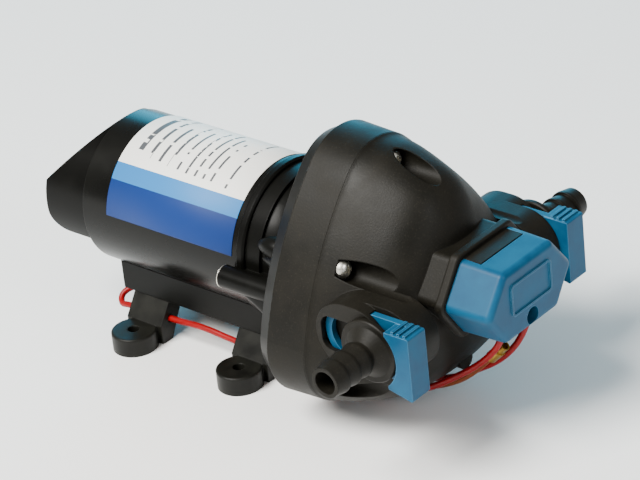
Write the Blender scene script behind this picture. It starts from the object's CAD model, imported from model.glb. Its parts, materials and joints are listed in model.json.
"""Caravan water pump: finishes, label, leads and studio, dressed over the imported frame."""
import json
import logging
from dataclasses import dataclass, field
from enum import Enum
from typing import Any, Dict, List, Optional, Sequence, Tuple, Union

import bmesh
import bpy
import numpy as np
from mathutils import Matrix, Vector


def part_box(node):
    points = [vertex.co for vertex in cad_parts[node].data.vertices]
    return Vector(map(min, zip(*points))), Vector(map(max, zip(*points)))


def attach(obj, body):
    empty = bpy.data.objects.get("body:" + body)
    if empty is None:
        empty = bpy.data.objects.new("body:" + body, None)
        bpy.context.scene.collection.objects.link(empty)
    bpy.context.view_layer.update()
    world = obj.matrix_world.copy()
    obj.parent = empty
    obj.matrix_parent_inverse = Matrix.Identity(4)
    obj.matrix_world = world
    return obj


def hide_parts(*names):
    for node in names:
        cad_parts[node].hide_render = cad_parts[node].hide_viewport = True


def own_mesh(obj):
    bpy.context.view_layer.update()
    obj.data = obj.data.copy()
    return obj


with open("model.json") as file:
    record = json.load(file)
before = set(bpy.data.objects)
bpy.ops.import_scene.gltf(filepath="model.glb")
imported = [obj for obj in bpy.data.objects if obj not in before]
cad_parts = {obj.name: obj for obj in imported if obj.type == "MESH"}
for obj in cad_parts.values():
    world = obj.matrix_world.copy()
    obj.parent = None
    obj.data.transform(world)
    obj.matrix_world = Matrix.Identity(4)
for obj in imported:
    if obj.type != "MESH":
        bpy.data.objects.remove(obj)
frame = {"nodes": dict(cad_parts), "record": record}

log = logging.getLogger("pump")
Point = Tuple[float, float, float]
Rgba = Tuple[float, float, float, float]
Socket = bpy.types.NodeSocket
Tree = bpy.types.NodeTree
MM = 0.001
# The motor's axis above the ground, in metres.
AXIS_HEIGHT = 0.0544
# Points of a shell that are closer than this are made one, in metres.
MERGE_DISTANCE = 1e-6
# One wave of Blender's Wave texture at a scale of one.
WAVE_LENGTH = 0.314
# Noise values between which a mottle turns from one colour to the other.
MOTTLE_LEVELS = (0.35, 0.65)
# Noise values between which the gloss goes over its spread.
GLOSS_LEVELS = (0.3, 0.7)
LEAST_ROUGHNESS = 0.02
# Cosines between the true and the softened normal where an edge is first and most rubbed.
RUB_LEVELS = (0.99, 0.80)
RUB_STRENGTH = 0.55
RING_STRENGTH = 0.25


def linear(hex_colour: str) -> Rgba:
    """Turn an sRGB hex colour into linear light.

    Args:
        hex_colour: six hex digits, such as "2f7fb8".

    Returns:
        Red, green, blue and alpha, linear.
    """
    srgb = np.array([int(hex_colour[i:i + 2], 16) for i in (0, 2, 4)]) / 255.0
    light = np.where(srgb <= 0.04045, srgb / 12.92, ((srgb + 0.055) / 1.055) ** 2.4)
    return (float(light[0]), float(light[1]), float(light[2]), 1.0)


def add_node(
    tree: Tree,
    kind: str,
    settings: Optional[Dict[str, Any]] = None,
    inputs: Optional[Dict[Any, Any]] = None,
) -> bpy.types.Node:
    """Add one shader node with its settings, values and links.

    Args:
        tree: the material's node tree.
        kind: the node's Blender type name.
        settings: node attributes to set.
        inputs: per input, a value or the output socket that feeds it.

    Returns:
        The new node.
    """
    node = tree.nodes.new(kind)
    for name, value in (settings or {}).items():
        setattr(node, name, value)
    for name, value in (inputs or {}).items():
        if isinstance(value, Socket):
            tree.links.new(value, node.inputs[name])
        else:
            node.inputs[name].default_value = value
    return node


@dataclass(frozen=True)
class Finish:
    """What every finish shares: a name, two colours that mottle into each other, and gloss.

    Patch and grain are sizes in millimetres; depth is the grain's height in millimetres.
    """

    name: str
    colour: str
    second: str
    roughness: float = 0.4
    roughness_spread: float = 0.08
    patch: float = 12.0
    grain: float = 0.5
    depth: float = 0.01
    metallic: float = 0.0
    ior: float = 1.5
    specular: float = 0.5
    edge_radius: float = 0.4
    edge_colour: Optional[str] = None

    def build(self) -> bpy.types.Material:
        """Make the material: mottled colour, uneven gloss, a fine grain and softened edges.

        Returns:
            The material, on Object coordinates.
        """
        material = bpy.data.materials.new(self.name)
        material.use_nodes = True
        tree = material.node_tree
        shader = tree.nodes["Principled BSDF"]
        place = add_node(tree, "ShaderNodeTexCoord").outputs["Object"]
        patches = add_node(tree, "ShaderNodeTexNoise", inputs={
            "Vector": place, "Scale": 1.0 / (self.patch * MM), "Detail": 4.0, "Roughness": 0.55})
        grain = add_node(tree, "ShaderNodeTexNoise", inputs={
            "Vector": place, "Scale": 1.0 / (self.grain * MM), "Detail": 3.0, "Roughness": 0.6})
        colour = add_node(tree, "ShaderNodeMix", {"data_type": "RGBA"}, {
            0: self.shape(tree, patches.outputs["Fac"], *MOTTLE_LEVELS),
            6: linear(self.colour), 7: linear(self.second)})
        base = self.detail(tree, place, colour.outputs[2])
        gloss = add_node(tree, "ShaderNodeMapRange", inputs={
            "Value": patches.outputs["Fac"],
            "From Min": GLOSS_LEVELS[0], "From Max": GLOSS_LEVELS[1],
            "To Min": max(LEAST_ROUGHNESS, self.roughness - self.roughness_spread),
            "To Max": min(1.0, self.roughness + self.roughness_spread)})
        soft = add_node(tree, "ShaderNodeBevel", {"samples": 4}, {"Radius": self.edge_radius * MM})
        if self.edge_colour:
            base = self.worn(tree, base, soft.outputs["Normal"])
        bump = add_node(tree, "ShaderNodeBump", inputs={
            "Height": grain.outputs["Fac"], "Strength": 0.5, "Distance": self.depth * MM,
            "Normal": soft.outputs["Normal"]})
        tree.links.new(base, shader.inputs["Base Color"])
        tree.links.new(gloss.outputs["Result"], shader.inputs["Roughness"])
        tree.links.new(bump.outputs["Normal"], shader.inputs["Normal"])
        shader.inputs["Metallic"].default_value = self.metallic
        shader.inputs["IOR"].default_value = self.ior
        shader.inputs["Specular IOR Level"].default_value = self.specular
        return material

    def shape(self, tree: Tree, value: Socket, low: float, high: float) -> Socket:
        """Stretch a noise value between two levels, for a clearer pattern.

        Args:
            tree: the material's node tree.
            value: the noise.
            low: the value that becomes nothing.
            high: the value that becomes one.

        Returns:
            The stretched value.
        """
        node = add_node(tree, "ShaderNodeMapRange", inputs={
            "Value": value, "From Min": low, "From Max": high})
        return node.outputs["Result"]

    def detail(self, tree: Tree, place: Socket, base: Socket) -> Socket:
        """Add the colour detail of one kind of surface; a plain finish has none.

        Args:
            tree: the material's node tree.
            place: the Object coordinates.
            base: the mottled colour.

        Returns:
            The colour with its detail.
        """
        return base

    def worn(self, tree: Tree, base: Socket, soft: Socket) -> Socket:
        """Lighten the edges, where the softened normal leaves the true one.

        Args:
            tree: the material's node tree.
            base: the colour so far.
            soft: the softened normal.

        Returns:
            The colour with its edges rubbed.
        """
        true = add_node(tree, "ShaderNodeNewGeometry").outputs["Normal"]
        match = add_node(tree, "ShaderNodeVectorMath", {"operation": "DOT_PRODUCT"}, {
            0: true, 1: soft})
        rub = add_node(tree, "ShaderNodeMapRange", inputs={
            "Value": match.outputs["Value"], "From Min": RUB_LEVELS[0], "From Max": RUB_LEVELS[1],
            "To Min": 0.0, "To Max": RUB_STRENGTH})
        mixed = add_node(tree, "ShaderNodeMix", {"data_type": "RGBA"}, {
            0: rub.outputs["Result"], 6: base, 7: linear(self.edge_colour)})
        return mixed.outputs[2]


@dataclass(frozen=True)
class GrainedPlastic(Finish):
    """Glass-filled nylon from a spark-eroded mould: dull, with paler fibres near the skin.

    The speck is the size in millimetres of the noise that scatters the fibres.
    """

    fibre: str = "2c2922"
    speck: float = 0.7

    def detail(self, tree: Tree, place: Socket, base: Socket) -> Socket:
        """Scatter paler specks through the colour."""
        specks = add_node(tree, "ShaderNodeTexNoise", inputs={
            "Vector": place, "Scale": 1.0 / (self.speck * MM), "Detail": 2.0, "Roughness": 0.7})
        amount = add_node(tree, "ShaderNodeMapRange", inputs={
            "Value": specks.outputs["Fac"], "From Min": 0.58, "From Max": 0.75, "To Max": 0.5})
        mixed = add_node(tree, "ShaderNodeMix", {"data_type": "RGBA"}, {
            0: amount.outputs["Result"], 6: base, 7: linear(self.fibre)})
        return mixed.outputs[2]


@dataclass(frozen=True)
class TurnedMetal(Finish):
    """Metal turned about the motor's axis, with fine rings a pitch apart, in millimetres."""

    pitch: float = 0.35

    def detail(self, tree: Tree, place: Socket, base: Socket) -> Socket:
        """Darken the colour in rings a tool's feed apart."""
        rings = add_node(tree, "ShaderNodeTexWave", {"bands_direction": "X"}, {
            "Vector": place, "Scale": WAVE_LENGTH / (self.pitch * MM),
            "Distortion": 1.5, "Detail": 2.0})
        mixed = add_node(tree, "ShaderNodeMix", {"data_type": "RGBA", "blend_type": "MULTIPLY"}, {
            0: RING_STRENGTH, 6: base, 7: rings.outputs["Color"]})
        return mixed.outputs[2]


@dataclass(frozen=True)
class PrintedFilm:
    """Polyester film, printed and wrapped round the can: plain bands, and rows of grey bars.

    The pattern reads the film's own UV map, in metres: u runs along the can and v round it.
    The sizes below are in millimetres. A row is cut into bars by a noise along it, whose grains
    are a word long; it is the same over one snap of u, and the shift makes it new for the next.
    """

    name: str = "printed_polyester_film"
    paper: str = "f2f1ec"
    aged_paper: str = "e4e4e0"
    pale_band: str = "2470ad"
    deep_band: str = "062a66"
    ink: str = "4a4c50"
    girth: float = 90.2
    deep_width: float = 15.2
    pale_width: float = 7.4
    row_places: Tuple[float, ...] = (7.5, 13.5, 19.2, 24.4, 29.4, 34.2, 38.8, 43.2, 47.4, 55.5)
    row_heights: Tuple[float, ...] = (2.6, 1.5, 1.4, 1.3, 1.1, 1.1, 1.1, 1.1, 1.1, 1.1)
    row_starts: Tuple[float, ...] = (30.0, 27.5, 27.5, 26.5, 26.5, 26.0, 26.0, 26.0, 26.0, 25.0)
    row_lengths: Tuple[float, ...] = (31.0, 34.0, 22.0, 36.0, 25.0, 30.0, 33.0, 28.0, 24.0, 35.0)
    row_snap: float = 2.0
    row_shift: float = 37.0
    word: float = 2.6
    gap_level: float = 0.40
    tint_patch: float = 14.0
    ripple: float = 2.0
    ripple_height: float = 0.02
    overlap: float = 1.0

    def step(self, tree: Tree, value: Socket, low: float, high: float) -> Socket:
        """Mask a range of a value.

        Args:
            tree: the material's node tree.
            value: the value.
            low: where the range starts.
            high: where it ends.

        Returns:
            One inside the range, and nothing outside it.
        """
        above = add_node(tree, "ShaderNodeMath", {"operation": "GREATER_THAN"}, {0: value, 1: low})
        below = add_node(tree, "ShaderNodeMath", {"operation": "LESS_THAN"}, {0: value, 1: high})
        both = add_node(tree, "ShaderNodeMath", {"operation": "MULTIPLY"}, {
            0: above.outputs["Value"], 1: below.outputs["Value"]})
        return both.outputs["Value"]

    def paint(self, tree: Tree, base: Socket, masks: Sequence[Socket], colour: str) -> Socket:
        """Paint a colour where all the masks are one.

        Args:
            tree: the material's node tree.
            base: the colour so far.
            masks: where to paint, each one or nothing.
            colour: the sRGB hex colour to paint.

        Returns:
            The painted colour.
        """
        mask = masks[0]
        for other in masks[1:]:
            mask = add_node(tree, "ShaderNodeMath", {"operation": "MULTIPLY"}, {
                0: mask, 1: other}).outputs["Value"]
        mixed = add_node(tree, "ShaderNodeMix", {"data_type": "RGBA"}, {
            0: mask, 6: base, 7: linear(colour)})
        return mixed.outputs[2]

    def gaps(self, tree: Tree, u: Socket, v: Socket) -> Socket:
        """Cut the rows into bars.

        Args:
            tree: the material's node tree.
            u: the place along the can.
            v: the place round the can.

        Returns:
            One where a bar is printed, and nothing in the gaps.
        """
        row = add_node(tree, "ShaderNodeMath", {"operation": "SNAP"}, {
            0: u, 1: self.row_snap * MM})
        place = add_node(tree, "ShaderNodeCombineXYZ", inputs={
            "X": v, "Y": add_node(tree, "ShaderNodeMath", {"operation": "MULTIPLY"}, {
                0: row.outputs["Value"], 1: self.row_shift}).outputs["Value"]})
        words = add_node(tree, "ShaderNodeTexNoise", inputs={
            "Vector": place.outputs["Vector"], "Scale": 1.0 / (self.word * MM), "Detail": 0.0})
        printed = add_node(tree, "ShaderNodeMath", {"operation": "GREATER_THAN"}, {
            0: words.outputs["Fac"], 1: self.gap_level})
        return printed.outputs["Value"]

    def build(self) -> bpy.types.Material:
        """Make the film: white, with two blue bands low on each side and rows of grey bars above.

        Returns:
            The material, on the film's UV map.
        """
        material = bpy.data.materials.new(self.name)
        material.use_nodes = True
        tree = material.node_tree
        shader = tree.nodes["Principled BSDF"]
        uv = add_node(tree, "ShaderNodeUVMap", {"uv_map": "film"}).outputs["UV"]
        parts = add_node(tree, "ShaderNodeSeparateXYZ", inputs={0: uv})
        u, v = parts.outputs["X"], parts.outputs["Y"]
        tint = add_node(tree, "ShaderNodeTexNoise", inputs={
            "Vector": uv, "Scale": 1.0 / (self.tint_patch * MM), "Detail": 3.0})
        paper = add_node(tree, "ShaderNodeMix", {"data_type": "RGBA"}, {
            0: tint.outputs["Fac"], 6: linear(self.paper), 7: linear(self.aged_paper)})
        colour = paper.outputs[2]
        both = self.deep_width + self.pale_width
        for low, high, tone in (
            (self.deep_width, both, self.pale_band),
            (self.girth - both, self.girth - self.deep_width, self.pale_band),
            (-self.overlap, self.deep_width, self.deep_band),
            (self.girth - self.deep_width, self.girth + self.overlap, self.deep_band),
        ):
            colour = self.paint(tree, colour, [self.step(tree, v, low * MM, high * MM)], tone)
        printed = self.gaps(tree, u, v)
        for place, height, start, length in zip(
            self.row_places, self.row_heights, self.row_starts, self.row_lengths,
        ):
            row = self.step(tree, u, (place - height / 2) * MM, (place + height / 2) * MM)
            top = self.girth - start
            reach = self.step(tree, v, (top - length) * MM, top * MM)
            colour = self.paint(tree, colour, [row, reach, printed], self.ink)
        soft = add_node(tree, "ShaderNodeTexNoise", inputs={
            "Vector": uv, "Scale": 1.0 / (self.ripple * MM), "Detail": 2.0})
        bump = add_node(tree, "ShaderNodeBump", inputs={
            "Height": soft.outputs["Fac"], "Strength": 0.15, "Distance": self.ripple_height * MM})
        gloss = add_node(tree, "ShaderNodeMapRange", inputs={
            "Value": tint.outputs["Fac"], "To Min": 0.42, "To Max": 0.55})
        tree.links.new(colour, shader.inputs["Base Color"])
        tree.links.new(gloss.outputs["Result"], shader.inputs["Roughness"])
        tree.links.new(bump.outputs["Normal"], shader.inputs["Normal"])
        shader.inputs["IOR"].default_value = 1.5
        shader.inputs["Specular IOR Level"].default_value = 0.25
        return material


class Surface(Enum):
    """The pump's finishes, one for each material slot of the record."""

    # Baked gloss enamel on rolled steel: deep black with sharp, slightly wavy highlights.
    CAN_PAINT = Finish("black_enamel_on_steel", "070706", "0c0c0a", 0.27, 0.06, 30.0, 2.5, 0.012,
                       ior=1.5, specular=0.13)
    # Injection-moulded ABS from a polished mould: black, glossy, with faint flow waves.
    GLOSS_BLACK = Finish("polished_black_abs", "060605", "0b0b09", 0.35, 0.05, 20.0, 1.2, 0.010,
                         ior=1.53, specular=0.08, edge_radius=0.6)
    # Glass-filled nylon from a grained mould: charcoal, dull, with pale fibres.
    MATTE_BLACK = GrainedPlastic("grained_glass_filled_nylon", "0e0d09", "15130e", 0.50, 0.07, 16.0,
                                 0.8, 0.11, ior=1.53, specular=0.13, edge_radius=0.6)
    # Injection-moulded acetal in mid blue: satin, rubbed paler along its edges.
    BLUE = Finish("moulded_blue_acetal", "083f5e", "0e4b6a", 0.42, 0.06, 10.0, 0.6, 0.02,
                  ior=1.48, specular=0.16, edge_radius=0.5, edge_colour="5d9cc0")
    # Zinc-plated steel screws: bright, faintly yellow, a little uneven.
    BRIGHT_STEEL = Finish("zinc_plated_steel", "efece2", "d6d3c8", 0.36, 0.08, 2.0, 0.4, 0.01,
                          metallic=1.0, edge_radius=0.15)
    # Turned and ground steel.
    MACHINED = TurnedMetal("turned_steel", "9c9da0", "86888c", 0.32, 0.08, 4.0, 0.3, 0.01,
                           metallic=1.0, edge_radius=0.15)
    # Sintered ferrite: dark grey, dusty.
    FERRITE = Finish("sintered_ferrite", "2b2c2f", "3a3b3e", 0.7, 0.1, 5.0, 0.3, 0.03)
    # Enamelled copper wire and bare copper bars.
    COPPER = TurnedMetal("enamelled_copper", "a8542d", "8a3f20", 0.3, 0.08, 3.0, 0.5, 0.04,
                         metallic=0.9, pitch=0.6)
    # Pressed sheet brass.
    BRASS = Finish("pressed_brass", "b08d3f", "94732f", 0.3, 0.1, 3.0, 0.4, 0.01,
                   metallic=1.0, edge_radius=0.15)
    # Pressed carbon, dead black and grainy.
    CARBON = Finish("pressed_carbon", "17171a", "222226", 0.6, 0.1, 2.0, 0.2, 0.03)
    # Moulded rubber feet: dark, faintly bloomed.
    FOOT_RUBBER = Finish("moulded_foot_rubber", "0d0d0b", "161612", 0.44, 0.10, 9.0, 0.7, 0.03,
                         ior=1.52, specular=0.16, edge_radius=0.8)
    # Moulded nitrile seals: dark and slightly shiny.
    SEAL_RUBBER = Finish("moulded_nitrile", "0e0e0f", "171718", 0.4, 0.08, 5.0, 0.4, 0.01)
    # Extruded PVC sleeve, red: smooth, with a soft shine.
    RED_PVC = Finish("extruded_red_pvc", "8a0006", "7a0004", 0.36, 0.06, 8.0, 0.5, 0.008,
                     ior=1.53, specular=0.2)
    # Extruded PVC sleeve, orange-brown.
    BROWN_PVC = Finish("extruded_brown_pvc", "7c3a10", "692e0a", 0.36, 0.06, 8.0, 0.5, 0.008,
                       ior=1.53, specular=0.2)
    # Moulded grey-black switch case.
    SWITCH_PLASTIC = Finish("moulded_pbt", "26272a", "303135", 0.45, 0.08, 6.0, 0.5, 0.02)


SLOT_SURFACES: Dict[str, Surface] = {
    "can_paint": Surface.CAN_PAINT,
    "gloss_black_plastic": Surface.GLOSS_BLACK,
    "matte_black_plastic": Surface.MATTE_BLACK,
    "blue_plastic": Surface.BLUE,
    "bright_steel": Surface.BRIGHT_STEEL,
    "machined_steel": Surface.MACHINED,
    "ferrite": Surface.FERRITE,
    "copper": Surface.COPPER,
    "brass": Surface.BRASS,
    "carbon": Surface.CARBON,
    "foot_rubber": Surface.FOOT_RUBBER,
    "seal_rubber": Surface.SEAL_RUBBER,
    "red_pvc": Surface.RED_PVC,
    "brown_pvc": Surface.BROWN_PVC,
    "switch_plastic": Surface.SWITCH_PLASTIC,
}


@dataclass
class Workshop:
    """Builds each finish once and hands it out."""

    made: Dict[str, bpy.types.Material] = field(default_factory=dict)

    def material(self, finish: Union[Finish, PrintedFilm]) -> bpy.types.Material:
        """Hand out the material of a finish, made on first use.

        Args:
            finish: the finish.

        Returns:
            Its material.
        """
        if finish.name not in self.made:
            self.made[finish.name] = finish.build()
        return self.made[finish.name]

    def dress_nodes(self) -> None:
        """Give every CAD node the finish of its material slot."""
        for part in frame["record"]["subparts"]:
            surface = SLOT_SURFACES.get(part["material_slot"])
            if surface is None:
                continue
            node = frame["nodes"][part["node"]]
            node.data.materials.clear()
            node.data.materials.append(self.material(surface.value))


def grid_mesh(name: str, grids: Sequence[np.ndarray], solid: bool = True) -> bpy.types.Object:
    """Make a mesh of quads from grids of points whose last column joins the first.

    Args:
        name: the new object's name.
        grids: arrays of rows, columns and three coordinates, in metres, one for each shell.
        solid: whether rows that shrink to a point or a line are merged and faces turned outwards.

    Returns:
        The object, linked to the scene, shaded smooth.
    """
    points, quads, count = [], [], 0
    for grid in grids:
        rows, columns = grid.shape[:2]
        index = np.arange(rows * columns).reshape(rows, columns) + count
        if solid:
            index = np.hstack([index, index[:, :1]])
        around = [index[:-1, :-1], index[:-1, 1:], index[1:, 1:], index[1:, :-1]]
        quads.append(np.stack(around, axis=-1).reshape(-1, 4))
        points.append(grid.reshape(-1, 3))
        count += rows * columns
    mesh = bpy.data.meshes.new(name)
    mesh.from_pydata(np.concatenate(points).tolist(), [], np.concatenate(quads).tolist())
    if solid:
        shell = bmesh.new()
        shell.from_mesh(mesh)
        bmesh.ops.remove_doubles(shell, verts=shell.verts, dist=MERGE_DISTANCE)
        bmesh.ops.recalc_face_normals(shell, faces=shell.faces)
        shell.to_mesh(mesh)
        shell.free()
    mesh.polygons.foreach_set("use_smooth", np.ones(len(mesh.polygons), dtype=bool))
    mesh.update()
    piece = bpy.data.objects.new(name, mesh)
    bpy.context.scene.collection.objects.link(piece)
    return piece


def shut(values: np.ndarray) -> np.ndarray:
    """Bring the first and the last value to nothing, which closes a shell's ends.

    Args:
        values: one value for each row of the shell.

    Returns:
        The values with both ends at nothing.
    """
    closed = values.copy()
    closed[[0, -1]] = 0.0
    return closed


@dataclass
class RatingLabel:
    """The film round the top and sides of the can; sizes in millimetres, angles in degrees."""

    rear: float = -35.7
    front: float = 31.0
    inner: float = 31.53
    thickness: float = 0.25
    half_angle: float = 82.0
    bevel: float = 0.1
    columns: int = 181

    def build(self, workshop: Workshop) -> None:
        """Bend a thin closed strip round the can and print it.

        The outline of the strip's section is a long thin ring of points; each is carried round
        the can's axis from one side to the other, so the film has a true thickness. The ring
        shrinks to a line at both ends.

        Args:
            workshop: where the film's finish comes from.
        """
        angle = np.radians(np.linspace(-self.half_angle, self.half_angle, self.columns))
        angle = np.concatenate([angle[:1], angle, angle[-1:]])
        run = np.array([self.rear, self.rear + self.bevel, self.front - self.bevel, self.front])
        offset = self.thickness / 2.0 * np.array([0.0, 1.0, 1.0, 0.0, 0.0, -1.0, -1.0, 0.0])
        x = np.concatenate([run, run[::-1]])
        middle = self.inner + self.thickness / 2.0
        radius = middle + shut(np.ones(angle.size))[:, None] * offset[None, :]
        grid = np.stack([
            np.broadcast_to(x[None, :], radius.shape) * MM,
            -np.sin(angle)[:, None] * radius * MM,
            np.cos(angle)[:, None] * radius * MM + AXIS_HEIGHT,
        ], axis=-1)
        piece = grid_mesh("rating_label", [grid])
        mesh = piece.data
        layer = mesh.uv_layers.new(name="film")
        corners = np.empty(len(mesh.loops), dtype=np.int32)
        mesh.loops.foreach_get("vertex_index", corners)
        places = np.empty(len(mesh.vertices) * 3)
        mesh.vertices.foreach_get("co", places)
        places = places.reshape(-1, 3)
        u = places[:, 0] - self.rear * MM
        turned = np.arctan2(-places[:, 1], places[:, 2] - AXIS_HEIGHT)
        v = (turned + np.radians(self.half_angle)) * self.inner * MM
        layer.data.foreach_set("uv", np.stack([u[corners], v[corners]], axis=-1).reshape(-1))
        mesh.materials.append(workshop.material(PrintedFilm()))
        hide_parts("motor_label")
        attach(piece, "pump_body")
        log.info("rating label wrapped round the can")


@dataclass
class HousingTrim:
    """The moulded webs and round-nosed ribs on both sides of the drive housing, and its screws.

    All sizes are in millimetres. An offset is measured sideways from the motor's axis, a height
    from the ground. The head's profile says how far behind its seat each ring of a screw's head
    stands, and the ring's radius; the rings of the socket are the second and third.
    """

    web_rear: float = 38.0
    web_front: float = 64.0
    web_offset: float = 36.6
    web_top: float = 55.4
    web_rear_height: float = 6.0
    web_front_height: float = 21.0
    web_half_width: float = 3.6
    web_lean: float = 1.0
    web_nose: float = 0.12
    web_power: float = 3.0
    rib_nose: float = 46.5
    rib_front: float = 64.0
    rib_offset: float = 31.6
    rib_height: float = 69.6
    rib_radius: float = 4.7
    rib_nose_length: float = 10.0
    rib_nose_power: float = 0.7
    screw_offset: float = 37.0
    screw_height: float = 53.0
    screw_seat: float = 31.47
    screw_end: float = 75.5
    screw_point: float = 1.2
    screw_point_radius: float = 0.9
    shank_radius: float = 1.98
    head_profile: Tuple[Tuple[float, float], ...] = (
        (0.25, 0.0), (0.25, 1.45), (0.95, 1.5), (1.05, 1.75), (1.05, 3.0),
        (0.8, 3.4), (0.32, 3.45), (0.28, 4.7), (0.03, 4.72), (0.03, 1.98),
    )
    rows: int = 48
    columns: int = 48

    def web(self, side: int) -> np.ndarray:
        """Carry a rounded upright section from the side boss to the head's flange.

        Each section is a superellipse. Its height grows with a smooth step along the motor's
        axis, its top stays level with the boss, and its first rows shrink to a point along a
        quarter of a circle, which makes a round nose.

        Args:
            side: minus one or one, for the sign of Y.

        Returns:
            The grid of points, in metres.
        """
        along = np.concatenate([np.linspace(0.0, 1.0, self.rows), [1.0]])
        rise = along * along * (3.0 - 2.0 * along)
        height = self.web_rear_height + (self.web_front_height - self.web_rear_height) * rise
        part = np.clip(along / self.web_nose, 0.0, 1.0)
        nose = shut(np.sqrt(part * (2.0 - part)))
        turn = np.linspace(0.0, 2.0 * np.pi, self.columns, endpoint=False)
        across, up = (
            np.sign(wave) * np.abs(wave) ** (2.0 / self.web_power)
            for wave in (np.cos(turn), np.sin(turn))
        )
        middle = self.web_top - height / 2.0
        offset = self.web_offset - self.web_lean * rise
        x = self.web_rear + (self.web_front - self.web_rear) * along
        return np.stack([
            np.broadcast_to(x[:, None], (x.size, turn.size)),
            side * (offset[:, None] + across[None, :] * (self.web_half_width * nose)[:, None]),
            middle[:, None] + up[None, :] * (height / 2.0 * nose)[:, None],
        ], axis=-1) * MM

    def turned(
        self, x: np.ndarray, radius: np.ndarray, side: int, offset: float, height: float,
    ) -> np.ndarray:
        """Turn a profile about a line along X: each radius becomes a ring at its own x.

        Args:
            x: where each ring stands.
            radius: the radius of each ring, at each column.
            side: minus one or one, for the sign of Y.
            offset: how far the line is from the middle.
            height: how high the line is.

        Returns:
            The grid of points, in metres.
        """
        turn = np.linspace(0.0, 2.0 * np.pi, self.columns, endpoint=False)
        return np.stack([
            np.broadcast_to(x[:, None], (x.size, turn.size)),
            side * offset + np.cos(turn)[None, :] * radius,
            height + np.sin(turn)[None, :] * radius,
        ], axis=-1) * MM

    def rib(self, side: int) -> np.ndarray:
        """Turn a pointed nose, whose radius rises by a power of one minus what is left, squared.

        Args:
            side: minus one or one, for the sign of Y.

        Returns:
            The grid of points, in metres.
        """
        x = np.concatenate([
            self.rib_nose + self.rib_nose_length * np.linspace(0.0, 1.0, self.rows) ** 2.0,
            [self.rib_front, self.rib_front],
        ])
        left = 1.0 - np.clip((x - self.rib_nose) / self.rib_nose_length, 0.0, 1.0)
        radius = shut(self.rib_radius * (1.0 - left * left) ** self.rib_nose_power)
        return self.turned(x, radius[:, None], side, self.rib_offset, self.rib_height)

    def screw(self, side: int) -> np.ndarray:
        """Turn a low-headed screw with a thin collar, whose socket has six sides.

        In the socket each ring's radius is half its width across flats, divided by the cosine
        of the angle from the middle of the nearest flat, so the hole is a hexagon.

        Args:
            side: minus one or one, for the sign of Y.

        Returns:
            The grid of points, in metres.
        """
        turn = np.linspace(0.0, 2.0 * np.pi, self.columns, endpoint=False)
        flat = np.mod(turn + np.pi / 6.0, np.pi / 3.0) - np.pi / 6.0
        behind, girth = np.array(self.head_profile).T
        x = np.concatenate([
            self.screw_seat - behind,
            [self.screw_end - self.screw_point, self.screw_end, self.screw_end],
        ])
        girth = np.concatenate([girth, [self.shank_radius, self.screw_point_radius, 0.0]])
        socket = np.zeros(x.size)
        socket[1:3] = 1.0
        radius = girth[:, None] * (1.0 + socket[:, None] * (1.0 / np.cos(flat)[None, :] - 1.0))
        return self.turned(x, radius, side, self.screw_offset, self.screw_height)

    def build(self, workshop: Workshop) -> None:
        """Make the webs, the ribs and the screws on both sides.

        Args:
            workshop: where the finishes come from.
        """
        for name, shape in (("housing_webs", self.web), ("housing_ribs", self.rib)):
            piece = grid_mesh(name, [shape(side) for side in (-1, 1)])
            piece.data.materials.append(workshop.material(Surface.GLOSS_BLACK.value))
            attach(piece, "pump_body")
            log.info("%s moulded on the drive housing", name)
        screws = grid_mesh("housing_socket_screws", [self.screw(side) for side in (-1, 1)])
        screws.data.materials.append(workshop.material(Surface.BRIGHT_STEEL.value))
        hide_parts("housing_screws")
        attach(screws, "pump_body")
        log.info("housing screws turned")


@dataclass
class SwitchSpring:
    """The pressure switch's spring, pressed together as the plunger rises; in millimetres."""

    wire: float = 0.8
    turns: float = 3.0
    travel: float = 1.0
    steps: int = 145
    columns: int = 12

    def build(self, workshop: Workshop) -> None:
        """Wind a round wire into a helix inside the CAD spring's box.

        The wire's middle runs evenly along X while it turns about the spring's axis. A ring of
        points goes round it at each step, in the plane of the radius and the axis, and the two
        end rings shrink to nothing, which closes them.

        Args:
            workshop: where the spring's finish comes from.
        """
        low, high = (np.array(corner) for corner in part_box("switch_spring"))
        radius = self.wire / 2.0 * MM
        middle = (low + high) / 2.0
        coil = (high[1] - low[1]) / 2.0 - radius
        along = np.linspace(0.0, 1.0, self.steps)
        angle = 2.0 * np.pi * self.turns * along
        outward = np.stack([np.zeros_like(angle), np.cos(angle), np.sin(angle)], axis=-1)
        centre = outward * coil + np.array([0.0, middle[1], middle[2]])
        centre[:, 0] = low[0] + radius + (high[0] - low[0] - 2.0 * radius) * along
        turn = np.linspace(0.0, 2.0 * np.pi, self.columns, endpoint=False)
        girth = shut(np.full(self.steps, radius))
        axis = np.array([1.0, 0.0, 0.0])
        ring = (np.cos(turn)[None, :, None] * outward[:, None, :]
                + np.sin(turn)[None, :, None] * axis[None, None, :])
        grid = centre[:, None, :] + girth[:, None, None] * ring
        piece = grid_mesh("switch_coil_spring", [grid])
        piece.data.materials.append(workshop.material(Surface.BRIGHT_STEEL.value))
        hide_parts("switch_spring")
        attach(piece, "pump_body")
        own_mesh(piece)
        log.info("switch spring wound")


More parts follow.
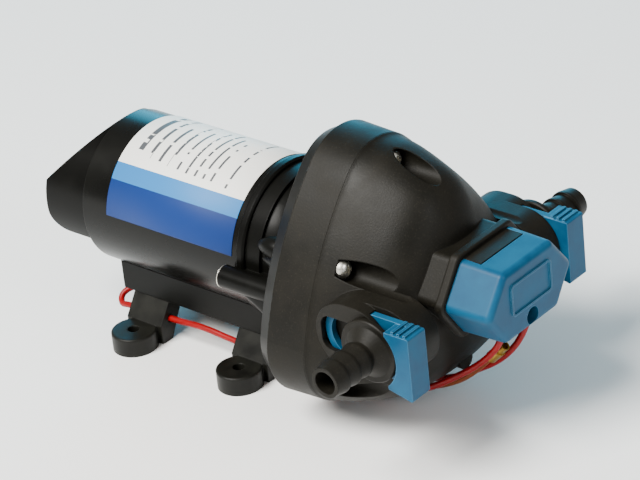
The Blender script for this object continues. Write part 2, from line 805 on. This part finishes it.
@dataclass
class Lead:
    """One insulated lead, as a smooth curve through the air and along the base.

    The route's points, the diameter and the length are in millimetres.
    """

    name: str
    node: str
    slot: str
    surface: Surface
    diameter: float
    length: float
    route: Sequence[Point]
    round_steps: int = 5
    curve_steps: int = 14

    def build(self, workshop: Workshop) -> None:
        """Draw the lead as a spline whose control points are the route.

        Args:
            workshop: where the sleeve's finish comes from.
        """
        curve = bpy.data.curves.new(self.name, "CURVE")
        curve.dimensions = "3D"
        curve.bevel_depth = self.diameter / 2 * MM
        curve.bevel_resolution = self.round_steps
        curve.resolution_u = self.curve_steps
        curve.use_fill_caps = True
        spline = curve.splines.new("NURBS")
        spline.points.add(len(self.route) - 1)
        points = np.ones((len(self.route), 4))
        points[:, :3] = np.array(self.route) * MM
        spline.points.foreach_set("co", points.reshape(-1))
        spline.order_u = 3
        spline.use_endpoint_u = True
        curve.materials.append(workshop.material(self.surface.value))
        piece = bpy.data.objects.new(self.name, curve)
        bpy.context.scene.collection.objects.link(piece)
        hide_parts(self.node)
        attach(piece, "pump_body")
        start = tuple(float(value) * MM for value in self.route[0])
        log.info("lead %s laid", self.name)


@dataclass(frozen=True)
class SoftBox:
    """One square soft light: its place and side in metres, its power in watts."""

    name: str
    place: Point
    size: float
    power: float
    colour: str

    def hang(self, aim: Point) -> None:
        """Hang the light so that it faces a point.

        Args:
            aim: the point, in metres.
        """
        data = bpy.data.lights.new(self.name, "AREA")
        data.shape = "SQUARE"
        data.size = self.size
        data.energy = self.power
        data.color = linear(self.colour)[:3]
        light = bpy.data.objects.new(self.name, data)
        back = np.array(self.place) - np.array(aim)
        back /= np.linalg.norm(back)
        side = np.cross((0.0, 0.0, 1.0), back)
        side /= np.linalg.norm(side)
        matrix = np.eye(4)
        matrix[:3, :3] = np.stack([side, np.cross(back, side), back], axis=-1)
        matrix[:3, 3] = self.place
        light.matrix_world = Matrix(matrix.tolist())
        bpy.context.scene.collection.objects.link(light)


@dataclass
class Studio:
    """Pale floor, soft lights and the camera at the photograph's angle.

    Lengths are in metres, but the lens and its sensor in millimetres. Angles are in degrees.
    """

    target: Point = (0.04954, 0.0, 0.05593)
    turn: float = 42.51
    rise: float = 29.23
    roll: float = -6.21
    distance: float = 1.2473
    focal: float = 179.0
    sensor: float = 36.0
    nearest: float = 0.05
    half_floor: float = 4.0
    floor_colour: str = "f7f7f6"
    sky_colour: str = "e9e9e6"
    sky_strength: float = 0.5
    lit_point: Point = (0.06, 0.0, 0.05)
    lights: Tuple[SoftBox, ...] = (
        SoftBox("key_softbox", (-0.25, -0.95, 1.35), 0.8, 78.0, "fffdf8"),
        SoftBox("side_softbox", (1.4, -0.1, 0.9), 0.6, 7.0, "ffffff"),
        SoftBox("rim_softbox", (-0.9, 1.25, 0.5), 0.8, 24.0, "2fa3c6"),
    )

    def axes(self) -> np.ndarray:
        """Work out the camera's directions.

        Returns:
            Its right, up and backward directions, as columns.
        """
        turn, rise, roll = np.radians([self.turn, self.rise, self.roll])
        right = np.array([np.cos(turn), np.sin(turn), 0.0])
        back = np.array([np.sin(turn) * np.cos(rise), -np.cos(turn) * np.cos(rise), np.sin(rise)])
        up = np.cross(back, right)
        rolled_right = np.cos(roll) * right + np.sin(roll) * up
        rolled_up = -np.sin(roll) * right + np.cos(roll) * up
        return np.stack([rolled_right, rolled_up, back], axis=-1)

    def place_camera(self) -> None:
        """Aim a long lens at the pump as the photograph does."""
        data = bpy.data.cameras.new("photo_camera")
        data.lens = self.focal
        data.sensor_width = self.sensor
        data.clip_start = self.nearest
        camera = bpy.data.objects.new("photo_camera", data)
        axes = self.axes()
        matrix = np.eye(4)
        matrix[:3, :3] = axes
        matrix[:3, 3] = np.array(self.target) + axes[:, 2] * self.distance
        camera.matrix_world = Matrix(matrix.tolist())
        bpy.context.scene.collection.objects.link(camera)
        bpy.context.scene.camera = camera

    def build(self) -> None:
        """Lay the floor and set the sky and the lights."""
        half = self.half_floor
        corners = np.array([[[x, y, 0.0] for y in (-half, half)] for x in (-half, half)])
        floor = grid_mesh("floor", [corners], solid=False)
        floor.data.flip_normals()
        material = bpy.data.materials.new("pale_floor")
        material.use_nodes = True
        shader = material.node_tree.nodes["Principled BSDF"]
        shader.inputs["Base Color"].default_value = linear(self.floor_colour)
        shader.inputs["Roughness"].default_value = 0.7
        floor.data.materials.append(material)
        world = bpy.data.worlds.new("studio")
        bpy.context.scene.world = world
        world.use_nodes = True
        background = world.node_tree.nodes["Background"]
        background.inputs["Color"].default_value = linear(self.sky_colour)
        background.inputs["Strength"].default_value = self.sky_strength
        for light in self.lights:
            light.hang(self.lit_point)
        log.info("studio lit")


# The leads' control points, in millimetres, from where each lead leaves the object's works.
RED_MOTOR_ROUTE: List[Point] = [
    (-37.4, -6.8, 20.9), (-38.2, -7.6, 15.2), (-44.6, -11, 13.4), (-49.8, -15.8, 10.4),
    (-47.2, -19.4, 7.4), (-41.5, -20, 9.3), (-15.5, -20, 9.5), (0, -20.3, 11.2),
    (15.5, -20, 9.5), (41.5, -20, 9.3), (54, -19.2, 6.6), (68, -17, 4.3), (83, -13.5, 3.7),
    (97, -10.5, 6.5), (108, -8.5, 11.5), (118, -8, 18.5), (128, -8, 26), (136.6, -8, 34),
    (143, -7.8, 42.6), (145.6, -7.5, 52.3),
]
RED_SUPPLY_ROUTE: List[Point] = [
    (145.6, 7.5, 52.3), (144.6, 7.2, 45.4), (141.9, 5.8, 37.3), (136.9, 4.9, 29.8),
    (129.8, 4.6, 22.8), (119, 4.5, 15.5), (108, 4.2, 8.8), (96, 3.5, 5.2), (83, 1.5, 3.7),
    (68, -2.4, 3.5),
    (62, -5.9, 4.9), (58.4, -9.8, 6.6), (55.8, -12.9, 11.8), (55.3, -14.2, 19.8), (45, -14.2, 19.8),
]
BROWN_ROUTE: List[Point] = [
    (-17.5, -12.4, 21.8), (-12.5, -13, 16.6), (-5, -13.6, 14.6), (5, -13.6, 13.6),
    (14.5, -12, 12.8),
    (25, -9.4, 11.2), (38, -7.5, 7.6), (50, -6.2, 3.6), (60, -5.4, 1.9), (69, -4.9, 1.8),
    (79, -4.2, 2.3), (90, -3.4, 3.5), (101, -3, 6.4), (110, -2.9, 10.4), (118, -2.8, 15.2),
    (125, -2.8, 21.2), (130.6, -2.9, 27.2), (137.6, -3, 34.4),
]


def main() -> None:
    """Build the studio, dress the nodes, and add the leads, label, spring and housing trim."""
    logging.basicConfig(level=logging.INFO, format="%(message)s")
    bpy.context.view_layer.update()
    studio = Studio()
    studio.place_camera()
    studio.build()
    workshop = Workshop()
    workshop.dress_nodes()
    red, brown = Surface.RED_PVC, Surface.BROWN_PVC
    for lead in (
        Lead("motor_lead", "red_motor_lead", "red_pvc", red, 2.6, 239.8, RED_MOTOR_ROUTE),
        Lead("supply_lead", "red_supply_lead", "red_pvc", red, 2.6, 137.0, RED_SUPPLY_ROUTE),
        Lead("earth_lead", "brown_lead", "brown_pvc", brown, 2.6, 170.0, BROWN_ROUTE),
    ):
        lead.build(workshop)
    RatingLabel().build(workshop)
    SwitchSpring().build(workshop)
    HousingTrim().build(workshop)


if __name__ == "__main__":
    main()
